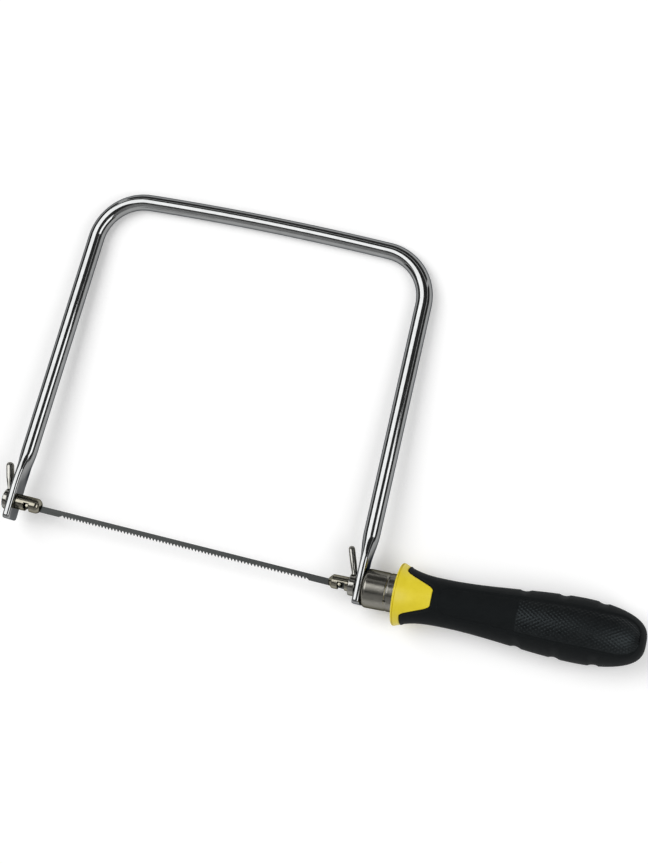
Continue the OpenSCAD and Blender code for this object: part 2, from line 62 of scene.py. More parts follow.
pins = dict(
    inset=9.2,      # from the middle of a flattened leg end to the pin next to it
    span=162.0,
    diameter=1.8,
    length=5.8,
    endRounding=0.3,
    drop=1.0,       # the pins and the blade hang this far below the spigots' axis
    sides=48,
)
gripRoll = 3.0      # degrees that the grip's panels are turned to the saw's plane
upFromBlade = -np.array(joints["blade_unhook"]["axis"])
sawFrame = workingFrame("front_spigot_turn", upFromBlade, back=pins["inset"])
handleFrame = workingFrame("handle_turn", upFromBlade)
gripFrame = workingFrame("handle_turn", upFromBlade, roll=gripRoll)
handleTilt = math.degrees(math.asin(np.dot(handleFrame[1][0], sawFrame[1][1])))
legSpan = pins["span"] + 2 * pins["inset"]


def setDown(points, base):
    origin, axes = base
    return origin + points @ axes * mm


def mix(a, b, t):
    return a + (b - a) * t


def ease(t):
    t = np.clip(t, 0, 1)
    return t * t * (3 - 2 * t)


# How far a rounded edge stands back at a depth behind its front: a quarter circle
def quarter(size, depth):
    return size * (1 - np.sqrt(1 - np.clip(1 - depth / size, 0, 1) ** 2))


# Rings of points are joined by quads and wrap round. Each end is a fan to its own middle, or the last
# ring joins the first. The map "surface" gives the share of a turn and the millimetres along.
def skin(name, rings, hoop=False, sharpAngle=35):
    rows, columns = rings.shape[:2]
    points = rings.reshape(-1, 3)
    index = np.arange(rows * columns).reshape(rows, columns)
    index = np.column_stack([index, index[:, 0]])
    steps = np.linalg.norm(np.diff(rings, axis=0), axis=2).mean(1) / mm
    along = np.concatenate([[0], np.cumsum(steps)])
    if hoop:
        index = np.vstack([index, index[:1]])
        along = np.append(along, along[-1] + np.linalg.norm(rings[0] - rings[-1], axis=1).mean() / mm)
    place = np.stack(np.meshgrid(np.linspace(0, 1, columns + 1), along), -1)

    def corners(grid):
        return np.stack([grid[:-1, :-1], grid[:-1, 1:], grid[1:, 1:], grid[1:, :-1]], 2)

    quads = corners(index).reshape(-1, 4)
    quadPlaces = corners(place).reshape(-1, 4, 2)
    fans = np.zeros((0, 3), int)
    fanPlaces = np.zeros((0, 3, 2))
    if not hoop:
        first, last = index[0], index[-1]
        middles = np.full(columns, len(points))
        points = np.vstack([points, rings[[0, -1]].mean(1)])
        fans = np.vstack([np.column_stack([first[1:], first[:-1], middles]),
                          np.column_stack([last[:-1], last[1:], middles + 1])])
        fanPlaces = np.concatenate([np.stack([place[0, 1:], place[0, :-1], place[0, 1:]], 1),
                                    np.stack([place[-1, :-1], place[-1, 1:], place[-1, 1:]], 1)])
    triangles = np.vstack([quads[:, :3], quads[:, [0, 2, 3]], fans])
    a, b, c = (points[triangles[:, k]] - points[0] for k in range(3))
    if np.einsum("ij,ij->", a, np.cross(b, c)) < 0:      # the faces have to point outwards
        quads, quadPlaces = quads[:, ::-1], quadPlaces[:, ::-1]
        fans, fanPlaces = fans[:, ::-1], fanPlaces[:, ::-1]
    mesh = bpy.data.meshes.new(name)
    mesh.from_pydata(points, [], quads.tolist() + fans.tolist())
    layer = mesh.uv_layers.new(name="surface")
    layer.data.foreach_set("uv", np.concatenate([quadPlaces.ravel(), fanPlaces.ravel()]).astype(np.float32))
    mesh.shade_smooth()
    mesh.set_sharp_from_angle(angle=math.radians(sharpAngle))
    piece = bpy.data.objects.new(name, mesh)
    bpy.context.scene.collection.objects.link(piece)
    return piece


# Outline through corners (along, radius, rounding): an arc touches both sides of each corner, and the
# two ends stay as they are
def rounded(corners, steps=8):
    corners = np.array(corners, float)
    spot, size = corners[1:-1, :2], corners[1:-1, 2:]
    u = corners[:-2, :2] - spot
    v = corners[2:, :2] - spot
    u /= np.linalg.norm(u, axis=1, keepdims=True)
    v /= np.linalg.norm(v, axis=1, keepdims=True)
    half = np.arccos(np.clip((u * v).sum(1, keepdims=True), -1, 1)) / 2
    middle = spot + (u + v) / np.linalg.norm(u + v, axis=1, keepdims=True) * size / np.sin(half)
    start = spot + u * size / np.tan(half) - middle
    end = spot + v * size / np.tan(half) - middle
    turn = (math.pi - 2 * half)[:, None]
    t = np.linspace(0, 1, steps + 1)[None, :, None]
    swept = np.sin((1 - t) * turn) * start[:, None] + np.sin(t * turn) * end[:, None]
    arcs = middle[:, None] + swept / np.sin(turn)
    line = np.vstack([corners[:1, :2], arcs.reshape(-1, 2), corners[-1:, :2]])
    apart = np.linalg.norm(np.diff(line, axis=0), axis=1) > 1e-4
    return line[np.concatenate([[True], apart])]


# Surface of revolution: each point (along, radius) of the outline goes round the x axis
def turned(name, outline, base, columns=96):
    angle = np.linspace(0, 2 * math.pi, columns, endpoint=False)
    along, radius = outline[:, :1], outline[:, 1:]
    rings = np.stack([along + 0 * angle, radius * np.sin(angle), radius * np.cos(angle)], -1)
    return skin(name, setDown(rings, base))


# Block between two corners, for cutting
def block(low, high, base):
    y, z = np.array([[low[1], low[2]], [high[1], low[2]], [high[1], high[2]], [low[1], high[2]]]).T
    rings = np.stack([np.stack([0 * y + x, y, z], -1) for x in (low[0], high[0])])
    return skin("cutter", setDown(rings, base))


# The modifiers' result becomes the piece's own mesh
def settle(piece, sharpAngle=35):
    graph = bpy.context.evaluated_depsgraph_get()
    mesh = bpy.data.meshes.new_from_object(piece.evaluated_get(graph))
    piece.modifiers.clear()
    piece.data = mesh
    mesh.shade_smooth()
    mesh.set_sharp_from_angle(angle=math.radians(sharpAngle))


def combine(piece, operation, *others):
    for other in others:
        step = piece.modifiers.new("combine", "BOOLEAN")
        step.operation, step.solver, step.object = operation, "EXACT", other
    settle(piece)
    for other in others:
        bpy.data.objects.remove(other)


def fit(piece, body, node, finish):
    piece.data.name = piece.name
    piece.data.materials.clear()
    piece.data.materials.append(finish)
    evenShade = piece.modifiers.new("evenShade", "WEIGHTED_NORMAL")
    evenShade.keep_sharp = True
    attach(piece, body)
    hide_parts(node)


noiseRange = (0.3, 0.7)     # most of a noise lies between these


def newFinish(name, **sockets):
    finish = bpy.data.materials.new(name)
    finish.use_nodes = True
    shader = finish.node_tree.nodes["Principled BSDF"]
    for socket, value in sockets.items():
        shader.inputs[socket].default_value = value
    return finish, shader


def addNode(finish, kind, **settings):
    node = finish.node_tree.nodes.new(kind)
    for key, value in settings.items():
        if key in node.inputs:
            node.inputs[key].default_value = value
        else:
            setattr(node, key, value)
    return node


def join(finish, source, output, target, socket):
    finish.node_tree.links.new(source.outputs[output], target.inputs[socket])


# Noise on the piece's own place (metres) or on its map, stretched by the three scales
def grain(finish, scales, detail=3.0, onMap=False):
    coords = addNode(finish, "ShaderNodeTexCoord")
    stretch = addNode(finish, "ShaderNodeMapping", Scale=scales)
    noise = addNode(finish, "ShaderNodeTexNoise", Scale=1.0, Detail=detail, Roughness=0.55)
    join(finish, coords, "UV" if onMap else "Object", stretch, "Vector")
    join(finish, stretch, "Vector", noise, "Vector")
    return noise


def spread(finish, source, low, high, target, socket):
    span = addNode(finish, "ShaderNodeMapRange")
    for key, value in zip(("From Min", "From Max", "To Min", "To Max"), (*noiseRange, low, high)):
        span.inputs[key].default_value = value
    join(finish, source, "Fac", span, "Value")
    join(finish, span, "Result", target, socket)


def tint(finish, source, dark, light, target, socket):
    ramp = addNode(finish, "ShaderNodeValToRGB")
    for stop, place, color in zip(ramp.color_ramp.elements, noiseRange, (dark, light)):
        stop.position, stop.color = place, (*color, 1)
    join(finish, source, "Fac", ramp, "Fac")
    join(finish, ramp, "Color", target, socket)


def relief(finish, source, depth, target):
    bump = addNode(finish, "ShaderNodeBump", Distance=depth * mm, Strength=1.0)
    join(finish, source, "Fac", bump, "Height")
    join(finish, bump, "Normal", target, "Normal")


# Settings of the finishes: colours from dark to light, the colour at grazing angles, roughness from low
# to high, grain per metre (or per turn and per millimetre on the map), and the depth of the marks
turnedNickel = dict(grazing=(0.15, 0.145, 0.12, 1.0), cloud=(420, 420, 420), marks=(2, 9, 1), markDeep=0.008)
platings = dict(
    chromePlate=dict(dark=(0.258, 0.262, 0.262), light=(0.292, 0.297, 0.297), rough=(0.05, 0.10),
                     grazing=(0.10, 0.11, 0.13, 1.0), cloud=(240, 240, 240),
                     marks=(60, 0.35, 1), markDeep=0.004),      # faint draw marks
    noseNickel=dict(dark=(0.205, 0.192, 0.156), light=(0.26, 0.247, 0.202), rough=(0.14, 0.22), **turnedNickel),
    leverNickel=dict(dark=(0.24, 0.235, 0.215), light=(0.30, 0.295, 0.275), rough=(0.12, 0.19), **turnedNickel),
    ferruleNickel=dict(dark=(0.205, 0.198, 0.174), light=(0.235, 0.227, 0.203), rough=(0.24, 0.27), **turnedNickel),
)
bladeLook = dict(
    dark=(0.022, 0.0235, 0.023),
    light=(0.038, 0.040, 0.0395),
    rough=(0.20, 0.32),
    lines=(90, 5200, 5200),     # ground along the strip
    lineDeep=0.006,
)
yellowLook = dict(
    dark=(0.70, 0.56, 0.016),
    light=(0.76, 0.62, 0.024),
    rough=(0.34, 0.44),
    gloss=0.45,
    cloud=(160, 160, 160),
    spark=(2600, 2600, 2600),   # spark-eroded mould
    sparkDeep=0.012,
)
blackLook = dict(
    dark=(0.004, 0.0043, 0.0045),
    light=(0.006, 0.0064, 0.0067),
    rough=(0.70, 0.80),
    dotPolish=-0.42,            # the dots are smoother by this much
    gloss=(0.15, 0.24),         # plain, and on the dots
    glossTint=(0.80, 0.95, 1.0, 1.0),
    cloud=(300, 300, 300),
    spark=(3400, 3400, 3400),
    sparkDeep=0.02,
)


def plating(name):
    look = platings[name]
    finish, shader = newFinish(name, **{"Metallic": 1.0, "Specular Tint": look["grazing"]})
    cloud = grain(finish, look["cloud"])
    tint(finish, cloud, look["dark"], look["light"], shader, "Base Color")
    spread(finish, cloud, *look["rough"], shader, "Roughness")
    relief(finish, grain(finish, look["marks"], onMap=True), look["markDeep"], shader)
    return finish


def bladeSteel():
    finish, shader = newFinish("bladeSteel", Metallic=1.0)
    lines = grain(finish, bladeLook["lines"], detail=4.0)
    tint(finish, lines, bladeLook["dark"], bladeLook["light"], shader, "Base Color")
    spread(finish, lines, *bladeLook["rough"], shader, "Roughness")
    relief(finish, lines, bladeLook["lineDeep"], shader)
    return finish


def yellowMoulding():
    finish, shader = newFinish("yellowMoulding", **{"Specular IOR Level": yellowLook["gloss"]})
    cloud = grain(finish, yellowLook["cloud"])
    tint(finish, cloud, yellowLook["dark"], yellowLook["light"], shader, "Base Color")
    spread(finish, cloud, *yellowLook["rough"], shader, "Roughness")
    relief(finish, grain(finish, yellowLook["spark"], detail=2.0), yellowLook["sparkDeep"], shader)
    return finish


# The grip's attribute "dotted" is 1 on the dots and 0 elsewhere
def blackRubber():
    finish, shader = newFinish("blackRubber", **{"Specular Tint": blackLook["glossTint"]})
    cloud = grain(finish, blackLook["cloud"])
    tint(finish, cloud, blackLook["dark"], blackLook["light"], shader, "Base Color")
    dotted = addNode(finish, "ShaderNodeAttribute", attribute_name="dotted")
    polish = addNode(finish, "ShaderNodeMath", operation="MULTIPLY_ADD")
    polish.inputs[1].default_value = blackLook["dotPolish"]
    join(finish, dotted, "Fac", polish, 0)
    spread(finish, cloud, *blackLook["rough"], polish, 2)
    join(finish, polish, 0, shader, "Roughness")
    spread(finish, dotted, *blackLook["gloss"], shader, "Specular IOR Level")
    relief(finish, grain(finish, blackLook["spark"], detail=2.0), blackLook["sparkDeep"], shader)
    return finish


chrome, noseNickel, leverNickel, ferruleNickel = (plating(name) for name in platings)
steel, yellow, black = bladeSteel(), yellowMoulding(), blackRubber()
print("finishes made")

bow = dict(
    rod=8.0,
    height=160.8,       # of the sharp corner between leg and top bar, above the blade line
    splay=1.75,         # degrees that each leg leans inwards
    rise=2.3,           # of the bowed top bar at its middle
    bend=24.0,
    flatThick=3.9,      # pressed leg ends
    flatWide=11.6,
    frontDrop=9.6,      # of the feet below the spigots' axes
    rearDrop=8.1,
    flatRise=7.0,
    flatRun=19.0,       # length over which flat turns into round
    frontIn=0.9,        # the feet stand towards the handle by this much
    rearOut=0.3,
    straightFrom=140.0,     # and the legs are back in line at this height
    flatSquare=0.8,     # power of the flat's edge: 1 is a half circle, less is squarer
    footCorner=2.0,
    footEdge=0.55,
    bore=5.1,
    sides=144,
    footRows=9,
    blendRows=33,
    bendRows=49,
    topRows=25,
)
flatHalf = (bow["flatWide"] - bow["flatThick"]) / 2
rearPad = pins["inset"] * math.cos(math.radians(handleTilt)) + bow["rearOut"]


# Stations of half the rod from a foot to the middle of the top bar: place x and y, heading from +y,
# roundness, half width of the flat, thickness of the flat. A foot's width and thickness fall off as
# quarter circles, the flat eases into the round, then come a bend arc and the top bar's big arc.
def halfBow(lean, drop):
    splay, lean = math.radians(bow["splay"]), math.radians(lean)
    up, legWay, legIn = (np.array(v) for v in ((math.sin(lean), math.cos(lean)),
                                               (math.sin(splay), math.cos(splay)),
                                               (math.cos(splay), -math.sin(splay))))
    chord = legSpan - 2 * bow["height"] * math.tan(splay)
    topRadius = (chord ** 2 / 4 + bow["rise"] ** 2) / (2 * bow["rise"])
    topMiddle = np.array([legSpan / 2, bow["height"] + bow["rise"] - topRadius])
    off = bow["bend"] * legIn - topMiddle
    reach = -legWay @ off + math.sqrt((legWay @ off) ** 2 - off @ off + (topRadius - bow["bend"]) ** 2)
    bendMiddle = bow["bend"] * legIn + reach * legWay
    topHalf = math.atan2(topMiddle[0] - bendMiddle[0], bendMiddle[1] - topMiddle[1])

    def stations(places, heading, roundness, half, thick):
        columns = np.broadcast_arrays(places[:, 0], places[:, 1], heading, roundness, half, thick)
        return np.stack(columns, 1)

    swing = 1 - np.cos(np.linspace(0, math.pi / 2, bow["footRows"]))
    depth = np.unique(np.concatenate([bow["footEdge"] * swing, bow["footCorner"] * swing]))
    foot = stations((depth - drop)[:, None] * up, lean, 0, flatHalf - quarter(bow["footCorner"], depth),
                    bow["flatThick"] - 2 * quarter(bow["footEdge"], depth))
    t = np.linspace(0, 1, bow["blendRows"])
    roundAt = (bow["flatRise"] + bow["flatRun"]) / math.cos(splay)
    blend = stations(mix(bow["flatRise"] * up, roundAt * legWay, t[:, None]), mix(lean, splay, ease(t)),
                     ease(t), flatHalf, bow["flatThick"])
    turnTo = mix(splay, math.pi / 2 - topHalf, np.linspace(0, 1, bow["bendRows"]))
    top = mix(math.pi / 2 - topHalf, math.pi / 2, np.linspace(0, 1, bow["topRows"])[1:])
    arcs = [stations(middle - radius * np.stack([np.cos(heading), -np.sin(heading)], 1), heading, 1,
                     flatHalf, bow["flatThick"])
            for middle, radius, heading in ((bendMiddle, bow["bend"], turnTo), (topMiddle, topRadius, top))]
    return np.concatenate([foot, blend, *arcs])


# Section at each station, spaced by girth: a flat whose edges are half superellipses, or a circle.
# Between them the thickness grows first and the width shrinks as its square.
def rodRings(stations):
    x, y, heading, roundness, half, thick = (column[:, None] for column in stations.T)
    turn = np.linspace(0, 360, bow["sides"], endpoint=False)[None]
    run = np.abs((turn + 90) % 180 - 90) / 90 * (half + math.pi / 4 * thick)
    arc = np.maximum(run - half, 0) / (thick / 2)
    edgeX, edgeY = (thick / 2 * np.clip(wave, 0, 1) ** bow["flatSquare"] for wave in (np.cos(arc), np.sin(arc)))
    flatX = np.where((turn > 90) & (turn < 270), -1, 1) * edgeX
    flatY = np.where(turn < 180, 1, -1) * (np.minimum(run, half) + edgeY)
    radius = bow["rod"] / 2
    across = mix(flatX, radius * np.cos(np.radians(turn)), roundness)
    above = mix(flatY, radius * np.sin(np.radians(turn)), roundness ** 2)
    return np.stack([x + across * np.cos(heading), y - across * np.sin(heading), above], -1)


def makeBow():
    front = halfBow(0.0, bow["frontDrop"])
    rear = halfBow(handleTilt, bow["rearDrop"])[-2::-1]
    rear[:, 0] = legSpan - rear[:, 0]
    for leg, shift in ((front, bow["frontIn"]), (rear, bow["rearOut"])):
        leg[:, 0] += shift * np.clip(1 - leg[:, 1] / bow["straightFrom"], 0, 1)
    rear[:, 2] = math.pi - rear[:, 2]
    rod = skin("bowRod", setDown(rodRings(np.concatenate([front, rear])), sawFrame))
    reach, radius = bow["flatThick"], bow["bore"] / 2
    bores = [turned("cutter", np.array([[middle - reach, radius], [middle + reach, radius]]), base)
             for middle, base in ((bow["frontIn"], sawFrame), (rearPad, handleFrame))]
    combine(rod, "DIFFERENCE", *bores)
    fit(rod, "frame", "bow_frame", chrome)


makeBow()
print("bow bent")

blade = dict(
    height=3.2,
    thick=0.5,
    pitch=1.69,
    depth=1.05,         # of a gullet
    face=0.18,          # share of the pitch taken by a tooth's steep face
    gullet=0.26,        # and by the flat between two teeth
    plainEnd=18.4,      # from the front pin to the first tooth
    rearPlainEnd=16.8,
    tail=2.2,
    tipSet=0.13,        # teeth lean out by this much, one to each side in turn
    bendAbove=0.35,     # a tooth bends this far above its root
    sharpAngle=25,
)


# Strip whose six-sided section is carried along x: back, sides, and a toothed edge that goes from
# a short flat to a tip and back once a pitch; the tips step to the left and right in turn
def makeBlade():
    back, tip = blade["height"] / 2, -blade["height"] / 2
    root = tip + blade["depth"]
    first = pins["inset"] + blade["plainEnd"]
    count = math.floor((pins["span"] - blade["plainEnd"] - blade["rearPlainEnd"]) / blade["pitch"])
    tooth = np.arange(count)
    shares = (blade["gullet"], 1 - blade["face"], 1)
    starts, tips, roots = (first + (tooth + share) * blade["pitch"] for share in shares)
    teethX = np.stack([starts, tips, roots], 1).ravel()
    teethY = np.stack([root + 0 * tips, tip + 0 * tips, root + 0 * tips], 1).ravel()
    lean = np.stack([0 * tips, blade["tipSet"] * (-1.0) ** tooth, 0 * tips], 1).ravel()
    x = np.concatenate([[pins["inset"] - blade["tail"], first - blade["pitch"], first], teethX,
                        [roots[-1] + blade["pitch"], pins["inset"] + pins["span"] + blade["tail"]]])
    edge = np.concatenate([[tip, tip, root], teethY, [tip, tip]])
    side = np.concatenate([[0, 0, 0], lean, [0, 0]])
    half = blade["thick"] / 2
    bend = root + blade["bendAbove"]
    even = 0 * x
    heights = [back + even, bend + even, edge, edge, bend + even, back + even]
    widths = [half + even, half + even, half + side, side - half, even - half, even - half]
    section = np.stack([np.stack(heights, 1), np.stack(widths, 1)], -1)
    rings = np.concatenate([np.broadcast_to(x[:, None, None], (*section.shape[:2], 1)), section], -1)
    rings[..., 1] -= pins["drop"]
    strip = skin("bladeStrip", setDown(rings, sawFrame))
    reach, radius = 2 * blade["thick"], pins["diameter"] / 2 + seatGap
    holes = [upright("cutter", np.array([[-reach, radius], [reach, radius]]), pin)
             for pin in (pins["inset"], pins["inset"] + pins["span"])]
    combine(strip, "DIFFERENCE", *holes)
    strip.data.set_sharp_from_angle(angle=math.radians(blade["sharpAngle"]))
    fit(strip, "blade", "saw_blade", steel)


# Turned piece that stands across the blade at a pin
def upright(name, outline, pinX):
    origin, axes = sawFrame
    middle = origin + (pinX * axes[0] - pins["drop"] * axes[1]) * mm
    return turned(name, outline, (middle, axes[[2, 0, 1]]), columns=pins["sides"])


def makePins():
    half, radius, rim = pins["length"] / 2, pins["diameter"] / 2, pins["endRounding"]
    outline = rounded([(-half, axisGap, 0), (-half, radius, rim), (half, radius, rim), (half, axisGap, 0)])
    for name, node, pinX in (("frontBladePin", "front_blade_pin", pins["inset"]),
                             ("rearBladePin", "rear_blade_pin", pins["inset"] + pins["span"])):
        fit(upright(name, outline, pinX), "blade", node, noseNickel)


makeBlade()
makePins()
print("blade toothed and pinned")

spigots = dict(
    frontNose=7.5,
    frontTip=6.5,           # from the pin to the nose's tip
    frontRound=2.8,
    rearNose=6.8,
    rearTip=5.8,
    rearBevel=1.9,
    bevelFront=0.4,         # rounding of the bevel's two edges
    bevelBack=0.6,
    shank=5.0,
    keyWidth=3.9,           # across the flats of the rear shank
    keyRoom=0.05,
    frontNotch=2.9,
    rearNotch=3.6,          # leaves room for the slack
    pinRoom=0.25,
    slotRoom=0.4,
    slot=1.372,
    faceRoom=0.15,
    head=7.6,               # riveted over the front lever's eye
    headHeight=0.45,
    headFrom=0.04,          # radians from its pole, which a fan closes
    headRows=12,
    slack=1.2,              # the rear spigot comes out by this much
    edge=0.2,
    innerEdge=0.1,
    studEdge=0.5,
)
levers = dict(
    eye=10.2,
    eyeEdge=0.25,       # towards the leg
    eyeBevel=0.6,
    armWide=4.8,
    neckWide=3.9,
    rootHigh=3.9,       # where the arm's line starts, above the axis
    rootIn=0.15,        # and how far it runs back from there
    widensOver=6.0,     # from the eye's edge up
    reach=18.0,
    square=0.75,        # power of the arm's section
    armRows=24,
    armSides=48,
    tipRows=20,
    tipTurn=88,         # degrees of the tip's quarter circle; a fan closes the rest
    voxel=0.15,
    smoothing=8,
    softness=0.5,
    sharpAngle=60,
)
frontArm = dict(eyeThick=2.5, setIn=0.3, neckThick=2.2, headThick=3.4, lean=17.5)
rearArm = dict(eyeThick=3.2, setIn=0.7, neckThick=2.5, headThick=2.9, lean=18.5)
clearOfLeg = bow["flatThick"] / 2 + spigots["faceRoom"]
shoulder = bow["frontIn"] + clearOfLeg
frontEye = bow["frontIn"] - clearOfLeg
rearEye = rearPad - clearOfLeg - rearArm["eyeThick"]


# Opening under a nose: a cross notch for the pin and a slot for the blade, both open below
def notchCutters(pinX, toBlade, noseRadius, tip, notch, back, base):
    below = noseRadius + past
    pinTop = pins["diameter"] / 2 + spigots["pinRoom"]
    slotTop = blade["height"] / 2 + spigots["slotRoom"] - pins["drop"]

    def cut(nearBlade, away, top, half):
        ends = sorted((pinX + toBlade * nearBlade, pinX - toBlade * away))
        return block((ends[0], -below, -half), (ends[1], top, half), base)

    return (cut(pinTop, notch - pinTop, pinTop - pins["drop"], below),
            cut(tip + past, back, slotTop, spigots["slot"] / 2))


def makeFrontSpigot():
    nose, shank = spigots["frontNose"] / 2, spigots["shank"] / 2
    tip = pins["inset"] + spigots["frontTip"]
    head = frontEye - frontArm["eyeThick"] - seatGap
    headRadius, inner = spigots["head"] / 2, spigots["innerEdge"]
    swing = np.linspace(spigots["headFrom"], math.pi / 2, spigots["headRows"])
    dome = np.stack([head - spigots["headHeight"] * np.cos(swing), headRadius * np.sin(swing)], 1)
    rest = rounded([(head, headRadius, 0), (head, shank, inner), (shoulder, shank, inner),
                    (shoulder, nose, spigots["edge"]), (tip, nose, spigots["frontRound"]), (tip, axisGap, 0)])
    piece = turned("frontSpigot", np.vstack([dome[:-1], rest]), sawFrame)
    openings = notchCutters(pins["inset"], 1, nose, spigots["frontTip"], spigots["frontNotch"],
                            blade["tail"] + spigots["slotRoom"], sawFrame)
    combine(piece, "DIFFERENCE", *openings)
    fit(piece, "front_holder", "front_spigot", noseNickel)


def makeRearSpigot():
    nose, shank, bevel = spigots["rearNose"] / 2, spigots["shank"] / 2, spigots["rearBevel"]
    back = rearEye - spigots["faceRoom"]
    keyEnd = rearEye + rearArm["eyeThick"] + spigots["slack"] + spigots["faceRoom"]
    tip = -spigots["rearTip"]
    outline = rounded([(tip, axisGap, 0), (tip, nose - bevel, spigots["bevelFront"]),
                       (tip + bevel, nose, spigots["bevelBack"]), (back, nose, spigots["edge"]),
                       (back, shank, spigots["innerEdge"]), (studEnd, shank, spigots["studEdge"]),
                       (studEnd, axisGap, 0)])
    piece = turned("rearSpigot", outline, handleFrame)
    key = spigots["keyWidth"] / 2
    flats = [block((back, low, -nose), (keyEnd, high, nose), handleFrame)
             for low, high in ((-nose, -key), (key, nose))]
    openings = notchCutters(0.0, -1, nose, spigots["rearTip"], spigots["rearNotch"],
                            blade["tail"] + spigots["slack"] + spigots["slotRoom"], handleFrame)
    combine(piece, "DIFFERENCE", *flats, *openings)
    fit(piece, "rear_holder", "rear_spigot", noseNickel)


# Lever, as cast: a round eye and a leaning arm grown together. The arm carries a rounded-rectangle
# section (a superellipse) up its line, wider and thicker above the neck, and closes in quarter circles
# at the tip.
def makeLever(name, start, arm, base, body, node, bore):
    eye, thick = levers["eye"] / 2, arm["eyeThick"]
    outline = rounded([(0, axisGap, 0), (0, eye, levers["eyeEdge"]), (thick, eye, levers["eyeBevel"]),
                       (thick, axisGap, 0)])
    outline[:, 0] = start - outline[:, 0]
    piece = turned(name, outline, base)
    lean, root = math.radians(arm["lean"]), levers["rootHigh"]
    halfWide, halfHead = levers["armWide"] / 2, arm["headThick"] / 2
    length = (levers["reach"] - root) / math.cos(lean)
    tipFrom = length - halfWide
    tipRun = tipFrom + halfWide * np.sin(np.linspace(0, math.radians(levers["tipTurn"]), levers["tipRows"]))
    run = np.concatenate([np.linspace(-levers["rootIn"], tipFrom, levers["armRows"]), tipRun[1:]])
    high = root + run * math.cos(lean)
    grow = ease((high - eye) / levers["widensOver"])

    def closing(half):
        return np.sqrt(np.clip(1 - (np.maximum(run - length + half, 0) / half) ** 2, 1e-4, 1))

    wide = mix(levers["neckWide"] / 2, halfWide, grow) * closing(halfWide)
    deep = mix(arm["neckThick"] / 2, halfHead, grow) * closing(halfHead)
    turn = np.linspace(0, 2 * math.pi, levers["armSides"], endpoint=False)
    square = [np.sign(wave) * np.abs(wave) ** levers["square"] for wave in (np.cos(turn), np.sin(turn))]
    out = deep[:, None] * square[0]
    middleX = (thick - arm["setIn"] - arm["neckThick"] / 2 + run * math.sin(lean))[:, None]
    rings = np.stack([start - middleX - out * math.cos(lean), high[:, None] - out * math.sin(lean),
                      wide[:, None] * square[1]], -1)
    combine(piece, "UNION", skin("arm", setDown(rings, base)))
    grown = piece.modifiers.new("grown", "REMESH")
    grown.mode, grown.voxel_size = "VOXEL", levers["voxel"] * mm
    soften = piece.modifiers.new("soften", "SMOOTH")
    soften.factor, soften.iterations = levers["softness"], levers["smoothing"]
    settle(piece, levers["sharpAngle"])
    combine(piece, "DIFFERENCE", bore)
    fit(piece, body, node, leverNickel)


def makeLevers():
    shank, thick, room = spigots["shank"] / 2, rearArm["eyeThick"], spigots["keyRoom"]
    ends = (frontEye - frontArm["eyeThick"] - past, frontEye + past)
    hole = turned("cutter", np.array([[end, shank + seatGap] for end in ends]), sawFrame)
    makeLever("frontLever", frontEye, frontArm, sawFrame, "front_holder", "front_lever", hole)
    ends = (rearEye - past, rearEye + thick + past)
    hole = turned("cutter", np.array([[end, shank + room] for end in ends]), handleFrame)
    key = spigots["keyWidth"] / 2 + room
    flats = block((ends[0] - past, -key, -shank - past), (ends[1] + past, key, shank + past), handleFrame)
    combine(hole, "INTERSECT", flats)
    makeLever("rearLever", rearEye + thick, rearArm, handleFrame, "rear_turner", "rear_lever", hole)


ferrule = dict(
    front=18.6,
    narrows=0.6,
    length=16.05,       # from the leg to the handle's rim
    wall=0.9,
    endWall=0.5,
    boreRoom=0.3,       # round the stud
    boreEdge=0.2,
    edge=2.0,
    mouthEdge=0.25,
    innerEdge=0.4,
    wallRows=110,
    sides=144,
    grooveAt=11.6,
    grooveHalf=0.396,   # half its width, where the dip has fallen to a third
    grooveDeep=0.3,
    stakeDeg=33.0,
    stakeWide=1.1,
    stakeDeep=0.75,
    stakeFrom=0.75,     # the stake's wall, as shares of its radius
    stakeOver=0.35,
    stakeSides=41,      # extra columns within these degrees of it
    stakeSpan=9,
    burrHigh=0.06,
    burrAt=1.45,        # as shares of the stake's radius
    burrHalf=0.3,
    seat=1.5,           # the mouth stands in the handle's rim by this much
)
legFace = rearPad + bow["flatThick"] / 2
ferruleAt = legFace + spigots["faceRoom"]
rimAt = legFace + ferrule["length"]
ferruleEnd = (ferrule["front"] - ferrule["narrows"]) / 2
ferruleBore = ferruleEnd - ferrule["wall"]
nut = dict(across=8.0, length=8.0, room=0.06, studPast=3.0)
nutAt = ferruleAt + ferrule["endWall"] + seatGap
studEnd = nutAt + nut["length"] + nut["studPast"]


